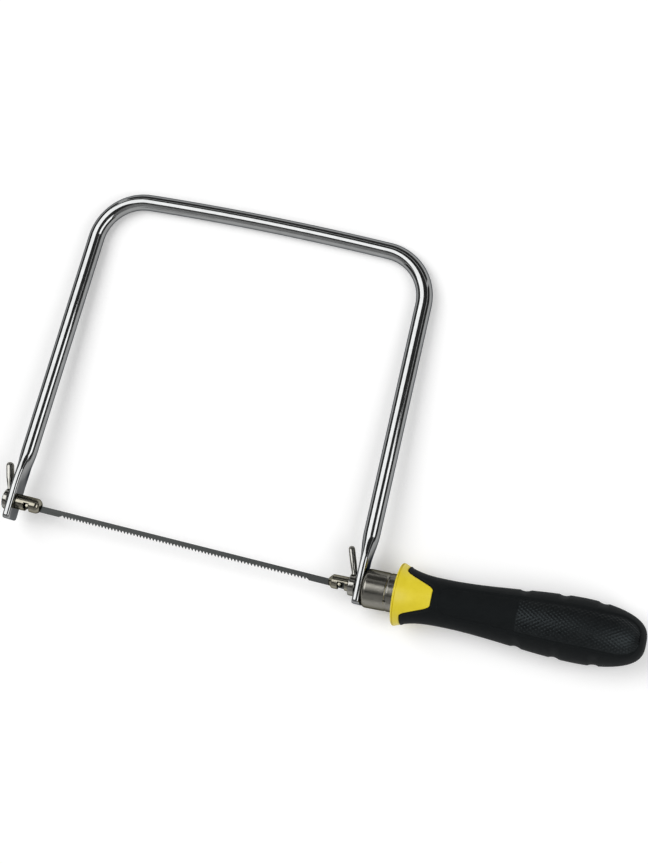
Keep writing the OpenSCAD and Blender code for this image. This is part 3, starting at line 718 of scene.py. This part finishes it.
# Cup of revolution whose outline is a closed loop. The rolled groove is a smooth dip in the outer wall,
# and the stake is a round dip: deep inside its radius, easing out over a burred edge.
def makeFerrule():
    front, total = ferrule["front"] / 2, rimAt + ferrule["seat"] - seatGap - ferruleAt
    hole, inside = spigots["shank"] / 2 + ferrule["boreRoom"], ferrule["endWall"]
    loopFrom, loopTo = hole + 1.0, hole + 1.5       # the loop closes on the end wall's inner face
    outline = rounded([(inside, loopFrom, 0), (inside, hole, ferrule["boreEdge"]), (0, hole, ferrule["boreEdge"]),
                       (0, front, ferrule["edge"]), (total, ferruleEnd, ferrule["mouthEdge"]),
                       (total, ferruleBore, ferrule["mouthEdge"]), (inside, ferruleBore, ferrule["innerEdge"]),
                       (inside, loopTo, 0)])
    wallFrom = np.argmax(outline[:, 0] > 0.9 * ferrule["edge"])     # the front edge's last point
    wallTo = wallFrom + 1
    wall = np.linspace(0, 1, ferrule["wallRows"])[1:-1, None]
    outline = np.vstack([outline[:wallTo], mix(outline[wallFrom], outline[wallTo], wall), outline[wallTo:]])
    stake = math.radians(360 - ferrule["stakeDeg"])
    extra = np.radians(np.linspace(-ferrule["stakeSpan"], ferrule["stakeSpan"], ferrule["stakeSides"]))
    angle = np.unique(np.concatenate([np.linspace(0, 2 * math.pi, ferrule["sides"], endpoint=False), stake + extra]))
    along, radius = outline[:, :1], outline[:, 1:] + 0 * angle
    dip = ferrule["grooveDeep"] * np.exp(-((along - ferrule["grooveAt"]) / ferrule["grooveHalf"]) ** 2)
    away = np.hypot(along - ferrule["grooveAt"], (angle - stake) * ferruleEnd) / (ferrule["stakeWide"] / 2)
    punch = ferrule["stakeDeep"] * (1 - ease((away - ferrule["stakeFrom"]) / ferrule["stakeOver"]))
    burr = ferrule["burrHigh"] * np.exp(-((away - ferrule["burrAt"]) / ferrule["burrHalf"]) ** 2)
    radius = radius - np.where(radius > (ferruleEnd + ferruleBore) / 2, dip + punch - burr, 0)
    rings = np.stack([ferruleAt + along + 0 * angle, radius * np.sin(angle), radius * np.cos(angle)], -1)
    piece = skin("ferruleCup", setDown(rings, handleFrame), hoop=True)
    fit(piece, "handle", "ferrule", ferruleNickel)


makeFrontSpigot()
makeRearSpigot()
makeLevers()
makeFerrule()
print("spigots, levers and ferrule turned")

handle = dict(
    rim=29.7,
    rimLand=1.4,
    rimEdge=0.9,
    neck=22.3,
    neckAt=24.0,        # places are measured from the rim's front
    swell=30.1,
    swellAt=85.6,
    length=116.0,
    gripThick=2.2,
    collar=4.0,
    tongueRoot=20.0,
    tongueTip=9.4,
    tongueTo=17.6,
    tongueCorner=3.2,
    seamEdge=0.4,
    lip=0.3,            # raised edge of the soft moulding along the seam
    lipWide=1.5,
    lipRise=0.5,
    seatRoom=0.05,      # round the ferrule's mouth
    seatEdge=0.3,
    fineTo=54,          # degrees from the front: columns are close there, where panels and tongues are
    fineStep=0.9,
    coarseStep=1.8,
    seamSteps=80,
    rimRows=9,
    flareRows=36,
    stemRows=20,
    innerRows=12,
    blendRows=9,
    neckRows=34,
    buttRows=26,
    buttTurn=89,        # degrees of its quarter turn; a fan closes the rest
    coreSharp=50,
    gripSharp=75,
    coreRows=(0.9, 0.7, 0.5, 0.4, 0.32, 0.22, 0.14, 0.06, 0.02, 0.0),       # distances from the seam
    gripRows=(0.0, 0.05, 0.12, 0.22, 0.35, 0.5, 0.7, 0.95, 1.25, 1.6, 2.0),
)
panels = dict(
    fromRim=21.0,
    toRim=113.2,
    halfDeg=38.0,
    widest=0.72,        # of the radius, where the butt closes
    endPower=24,        # the higher, the squarer the ends
    deep=0.35,
    edgeWide=0.7,       # a panel sinks over this width
    line=0.3,           # extra depth of the line that borders a panel
    lineHalf=0.4,
    dotsFrom=57.0,
    dotsOver=0.8,       # length over which they set in
    dotsInside=0.4,     # distance from the border, and width over which they set in there
    dotsEdge=0.6,
    dotHigh=0.22,
    dotDeg=3.6,         # half the pitch round the handle
    dotPitch=1.32,      # half the pitch along it
    dotRows=4,
)
fingers = dict(
    first=58.6,
    pitch=17.9,
    count=3,
    deep=0.62,
    radius=5.2,
    edgeFrom=0.70,      # sine of the angle from the front, where a groove sets in
    edgeOver=0.25,
)


# Radius along the handle: a straight rim, a cubic flare down to the neck, an eased swell, and a butt
# that closes as the cube root of a circle's height squared
def handleRadius(s):
    rim, neck, swell = handle["rim"] / 2, handle["neck"] / 2, handle["swell"] / 2
    flareOver = handle["neckAt"] - handle["rimLand"]
    flare = mix(neck, rim, np.clip(1 - (s - handle["rimLand"]) / flareOver, 0, 1) ** 3)
    rise = mix(neck, swell, ease((s - handle["neckAt"]) / (handle["swellAt"] - handle["neckAt"])))
    close = np.clip((s - handle["swellAt"]) / (handle["length"] - handle["swellAt"]), 0, 1)
    butt = swell * (1 - close ** 2) ** (1 / 3)
    return np.where(s < handle["neckAt"], flare, np.where(s < handle["swellAt"], rise, butt))


# Columns round the handle, twice as close on the front and back
def handleAngles():
    edge = handle["fineTo"]
    fine, coarse = np.arange(-edge, edge, handle["fineStep"]), np.arange(edge, 180 - edge, handle["coarseStep"])
    return np.radians(np.concatenate([fine, coarse, fine + 180, coarse + 180]))


# The lower of two values, with the corner between them rounded by a parabola
def softLow(a, b, size):
    blend = np.maximum(size - np.abs(a - b), 0) / size
    return np.minimum(a, b) - blend ** 2 * size / 4


# The seam, for each angle: the collar's line, a tongue's slanted side or its tip, whichever the outline
# seen from the front gives. The surface narrows along the way, so the place is found by repetition.
def seamLine(angle):
    place = np.full_like(angle, handle["collar"])
    slope = (handle["tongueTo"] - handle["collar"]) / (handle["tongueRoot"] - handle["tongueTip"]) * 2
    for _ in range(handle["seamSteps"]):
        across = np.abs(handleRadius(place) * np.sin(angle))
        side = handle["collar"] + slope * (handle["tongueRoot"] / 2 - across)
        place = -softLow(-softLow(side, handle["tongueTo"], handle["tongueCorner"]), -handle["collar"],
                         handle["tongueCorner"])
    turns = np.concatenate([angle - 2 * math.pi, angle, angle + 2 * math.pi])
    slant = np.gradient(np.tile(place, 3), turns)[len(angle):-len(angle)] / handleRadius(place)
    return place, np.sqrt(1 + slant ** 2)       # and how much a step across the seam stretches along the handle


# Rigid core, one closed surface from the stud's bore out over the rim and along the stem inside the grip
def makeCore():
    angle = np.unique(np.concatenate([handleAngles(), np.radians(np.arange(0, 300, 60))]))
    seam, stretch = seamLine(angle)
    around = 0 * angle
    tenon = ferruleBore - seatGap
    seat, seatEnd = ferruleEnd + handle["seatRoom"], rimAt + ferrule["seat"]
    rim = handle["rim"] / 2
    coreEnd = handle["length"] - 2 * handle["gripThick"]
    hexagon = (nut["across"] / 2 + nut["room"]) / np.cos((angle % (math.pi / 3)) - math.pi / 6)
    stud, nutEnd = spigots["shank"] / 2 + ferrule["boreRoom"], nutAt + nut["length"] + seatGap
    inner = [(studEnd + nut["studPast"], stud), (nutEnd, stud), (nutEnd, hexagon), (nutAt, hexagon)]
    front = [(nutAt, tenon), (seatEnd, tenon), (seatEnd, seat), (rimAt + handle["seatEdge"], seat),
             (rimAt, seat + handle["seatEdge"])]
    along = [place + around for place, _ in inner + front]
    radius = [size + around for _, size in inner + front]
    swing = np.linspace(0, math.pi / 2, handle["rimRows"])[:, None]
    edge = handle["rimEdge"]
    depth = np.array(handle["coreRows"])[:, None]
    flare = mix(handle["rimLand"], seam - depth[0] * stretch, np.linspace(0, 1, handle["flareRows"])[:, None])
    brink = seam - depth[1:] * stretch
    stem = mix(seam, coreEnd, np.linspace(0, 1, handle["stemRows"])[:, None])
    along = np.vstack([along, rimAt + edge * (1 - np.sin(swing)) + around,
                       rimAt + np.vstack([flare, brink, stem])])
    radius = np.vstack([radius, rim - edge * (1 - np.cos(swing)) + around, handleRadius(flare),
                        handleRadius(brink) - quarter(handle["seamEdge"], depth[1:]),
                        handleRadius(stem) - handle["gripThick"] - seatGap])
    rings = np.stack([along, radius * np.sin(angle), radius * np.cos(angle)], -1)
    piece = skin("handleCore", setDown(rings, gripFrame), sharpAngle=handle["coreSharp"])
    fit(piece, "handle", "handle_core", yellow)


# How far the grip's surface stands off the plain handle: a panel sinks inside its border, a line follows
# the border, fine dots (the product of two cosines) fill the panel's rear part and come level with its
# front part, and each finger groove is a parabola across the upper and lower edges. Also gives where the
# dots are.
def gripRelief(s, angle):
    radius = handleRadius(s)
    across = np.abs(radius * np.sin(angle))
    share = np.clip(2 * (s - panels["fromRim"]) / (panels["toRim"] - panels["fromRim"]) - 1, -1, 1)
    half = np.where(s < handle["swellAt"], radius, handle["swell"] / 2) * math.sin(math.radians(panels["halfDeg"]))
    border = np.minimum(half, panels["widest"] * radius) * (1 - share ** panels["endPower"]) ** (1 / 3)
    inside = np.where(np.abs(share) < 1, border - across, -1.0)
    sink = panels["deep"] * ease(inside / panels["edgeWide"] + 0.5)
    line = panels["line"] * np.exp(-(inside / panels["lineHalf"]) ** 2)
    turn = (np.degrees(angle) + 90) % 180 - 90
    rear = s - panels["dotsFrom"]
    dots = np.cos(math.pi * turn / panels["dotDeg"]) * np.cos(math.pi * rear / panels["dotPitch"])
    dotted = ease((inside - panels["dotsInside"]) / panels["dotsEdge"]) * ease(rear / panels["dotsOver"])
    places = fingers["first"] + fingers["pitch"] * np.arange(fingers["count"])
    dip = np.maximum(fingers["deep"] - (s[..., None] - places) ** 2 / (2 * fingers["radius"]), 0).sum(-1)
    edgeward = ease((np.abs(np.sin(angle)) - fingers["edgeFrom"]) / fingers["edgeOver"])
    return panels["dotHigh"] * (np.maximum(dots, 0) - 1) * dotted - sink - line - dip * edgeward, dotted


# Soft grip, one closed surface: up the inside, over the seam with its lip, along the outside to the butt
def makeGrip():
    angle = handleAngles()
    seam, stretch = seamLine(angle)
    seam = seam + seatGap
    thick = handle["gripThick"]
    coreEnd = handle["length"] - 2 * thick
    inner = mix(coreEnd, seam, np.linspace(0, 1, handle["innerRows"])[:, None])
    around = 0 * angle
    lipRows = seam + np.array(handle["gripRows"])[:, None] * stretch
    blend = mix(lipRows[-1], handle["neckAt"] + around, np.linspace(0, 1, handle["blendRows"])[1:, None])
    neckRows = np.linspace(handle["neckAt"], panels["dotsFrom"], handle["neckRows"])[1:, None] + around
    step = panels["dotPitch"] / panels["dotRows"]
    dotRows = np.arange(panels["dotsFrom"] + step, panels["toRim"], step)[:, None] + around
    reach = handle["length"] - handle["swellAt"]
    startTurn = math.asin((dotRows[-1, 0] - handle["swellAt"]) / reach)
    buttTurn = np.linspace(startTurn, math.radians(handle["buttTurn"]), handle["buttRows"])[1:, None]
    butt = handle["swellAt"] + reach * np.sin(buttTurn) + around
    outer = np.vstack([lipRows, blend, neckRows, dotRows, butt])
    depth, rise = (outer - seam) / stretch, handle["lipRise"]
    lip = handle["lip"] * ease(depth / rise) * (1 - ease((depth - rise) / (handle["lipWide"] - rise)))
    standOff, dotted = gripRelief(outer, angle)
    outerRadius = handleRadius(outer) + standOff + lip - quarter(handle["seamEdge"], depth)
    along = rimAt + np.vstack([coreEnd + seatGap + around[None], inner[1:], outer])
    radius = np.vstack([handleRadius(inner) - thick, outerRadius])
    rings = np.stack([along, radius * np.sin(angle), radius * np.cos(angle)], -1)
    piece = skin("softGrip", setDown(rings, gripFrame), sharpAngle=handle["gripSharp"])
    layer = piece.data.attributes.new("dotted", "FLOAT", "POINT")
    values = np.concatenate([np.zeros(inner.size), dotted.ravel(), [0, 0]])     # the two ends' middles come last
    layer.data.foreach_set("value", values.astype(np.float32))
    fit(piece, "handle", "soft_grip", black)


makeCore()
makeGrip()
hiddenNut = frame["nodes"]["tension_nut"]      # keeps its CAD shape
hiddenNut.data.materials.clear()
hiddenNut.data.materials.append(leverNickel)
print("handle moulded")

# Stage: a pale floor, soft boxes, and grey and dark cards that only reflections see
stage = dict(
    floorSize=8.0,
    floorColor=(0.93, 0.93, 0.93),
    floorGlow=0.14,
    whiteFrom=0.35,     # the floor turns plain white between these distances
    whiteTo=0.75,
    worldLight=0.42,
    cardAim=1.0,        # cards face the stage's middle, no higher than this
)
softBoxes = [       # size across and along the lamp's own axes, power in watts
    dict(name="upperLeft", place=(-0.82, 0.22, 1.35), size=(1.05, 1.34), power=13.3),
    dict(name="right", place=(0.573, -0.10, 0.65), size=(0.60, 0.42), power=2.4),
]
cards = [
    dict(name="ceilingCard", place=(0.0, 0.0, 1.9), size=(4.0, 4.0), tone=0.12),
    dict(name="leftCard", place=(-1.9, 0.0, 0.8), size=(3.4, 1.4), tone=0.12),
    dict(name="rightCard", place=(1.9, 0.0, 0.8), size=(3.4, 1.4), tone=0.12),
    dict(name="farCard", place=(0.0, 1.9, 0.8), size=(3.4, 1.4), tone=0.12),
    dict(name="nearCard", place=(0.0, -1.1, 1.1), size=(3.0, 1.5), tone=0.6),
]


# 1 for rays that the viewer sees directly, in a reflection or through a clear piece
def viewerRays(tree):
    path = tree.nodes.new("ShaderNodeLightPath")
    seen = path.outputs["Is Camera Ray"]
    for other in ("Is Glossy Ray", "Is Transmission Ray"):
        either = tree.nodes.new("ShaderNodeMath")
        either.operation = "MAXIMUM"
        tree.links.new(seen, either.inputs[0])
        tree.links.new(path.outputs[other], either.inputs[1])
        seen = either.outputs[0]
    return seen


def sheetAt(name, size, place=(0, 0, 0), aim=None):
    x, y = size[0] / 2, size[1] / 2
    corners = [Vector(c) for c in ((-x, -y, 0), (x, -y, 0), (x, y, 0), (-x, y, 0))]
    if aim is not None:
        turn = (Vector(aim) - Vector(place)).to_track_quat("Z", "Y")
        corners = [turn @ c for c in corners]
    mesh = bpy.data.meshes.new(name)
    mesh.from_pydata([c + Vector(place) for c in corners], [], [(0, 1, 2, 3)])
    sheet = bpy.data.objects.new(name, mesh)
    bpy.context.scene.collection.objects.link(sheet)
    return sheet


def makeFloor():
    floor = sheetAt("floor", (stage["floorSize"], stage["floorSize"]))
    finish = bpy.data.materials.new("paleFloor")
    finish.use_nodes = True
    tree = finish.node_tree
    tree.nodes.remove(tree.nodes["Principled BSDF"])
    matt = addNode(finish, "ShaderNodeBsdfDiffuse", Color=(*stage["floorColor"], 1))
    glow = addNode(finish, "ShaderNodeEmission", Color=(1, 1, 1, 1))
    white = addNode(finish, "ShaderNodeEmission", Color=(1, 1, 1, 1), Strength=1.0)
    lift = addNode(finish, "ShaderNodeMath", operation="MULTIPLY")
    lift.inputs[1].default_value = stage["floorGlow"]
    add = addNode(finish, "ShaderNodeAddShader")
    far = addNode(finish, "ShaderNodeMixShader")
    seen = viewerRays(tree)
    coords = addNode(finish, "ShaderNodeTexCoord")
    distance = addNode(finish, "ShaderNodeVectorMath", operation="LENGTH")
    fade = addNode(finish, "ShaderNodeMapRange", interpolation_type="SMOOTHSTEP")
    for key, value in (("From Min", stage["whiteFrom"]), ("From Max", stage["whiteTo"])):
        fade.inputs[key].default_value = value
    share = addNode(finish, "ShaderNodeMath", operation="MULTIPLY")
    links = tree.links
    links.new(seen, lift.inputs[0])
    links.new(lift.outputs[0], glow.inputs["Strength"])
    links.new(matt.outputs[0], add.inputs[0])
    links.new(glow.outputs[0], add.inputs[1])
    links.new(coords.outputs["Object"], distance.inputs[0])
    links.new(distance.outputs["Value"], fade.inputs["Value"])
    links.new(fade.outputs["Result"], share.inputs[0])
    links.new(seen, share.inputs[1])
    links.new(share.outputs[0], far.inputs["Fac"])
    links.new(add.outputs[0], far.inputs[1])
    links.new(white.outputs[0], far.inputs[2])
    links.new(far.outputs[0], tree.nodes["Material Output"].inputs["Surface"])
    floor.data.materials.append(finish)


def makeCards():
    for card in cards:
        grey = (*[card["tone"]] * 3, 1)
        finish, _ = newFinish(card["name"], **{"Base Color": grey, "Roughness": 1.0, "Specular IOR Level": 0.0})
        aim = (0, 0, min(card["place"][2], stage["cardAim"]))
        sheet = sheetAt(card["name"], card["size"], card["place"], aim)
        sheet.data.materials.append(finish)
        sheet.visible_camera = sheet.visible_diffuse = sheet.visible_shadow = False
        sheet.visible_transmission = sheet.visible_volume_scatter = False


def makeLights():
    for box in softBoxes:
        light = bpy.data.lights.new(box["name"], "AREA")
        light.shape, light.energy = "RECTANGLE", box["power"]
        light.size, light.size_y = box["size"]
        lamp = bpy.data.objects.new(box["name"], light)
        lamp.location = box["place"]
        lamp.rotation_mode = "QUATERNION"
        lamp.rotation_quaternion = (-Vector(box["place"])).to_track_quat("-Z", "Y")
        lamp.visible_camera = False
        bpy.context.scene.collection.objects.link(lamp)
    world = bpy.data.worlds.new("paleRoom")
    world.use_nodes = True
    bpy.context.scene.world = world
    tree = world.node_tree
    sky = tree.nodes["Background"]
    strength = tree.nodes.new("ShaderNodeMapRange")
    strength.inputs["To Min"].default_value = stage["worldLight"]
    strength.inputs["To Max"].default_value = 1.0
    tree.links.new(viewerRays(tree), strength.inputs["Value"])
    tree.links.new(strength.outputs["Result"], sky.inputs["Strength"])
    sky.inputs["Color"].default_value = (1, 1, 1, 1)


view = dict(
    place=(0.181410, -0.065621, 0.789625),
    aim=(-0.006419, -0.009075, 0.015045),
    roll=-59.793,
    lens=69.776,
    sensor=36.0,
)


def makeCamera():
    data = bpy.data.cameras.new("photoView")
    data.lens, data.sensor_width, data.sensor_fit = view["lens"], view["sensor"], "AUTO"
    data.clip_start, data.clip_end = 0.01, 50
    camera = bpy.data.objects.new("photoView", data)
    camera.location = view["place"]
    look = (Vector(view["aim"]) - Vector(view["place"])).to_track_quat("-Z", "Y")
    camera.rotation_mode = "QUATERNION"
    camera.rotation_quaternion = look @ Quaternion((0, 0, 1), math.radians(view["roll"]))
    bpy.context.scene.collection.objects.link(camera)
    bpy.context.scene.camera = camera


makeFloor()
makeCards()
makeLights()
makeCamera()
bpy.context.scene.view_settings.view_transform = "Standard"
print("stage lit")
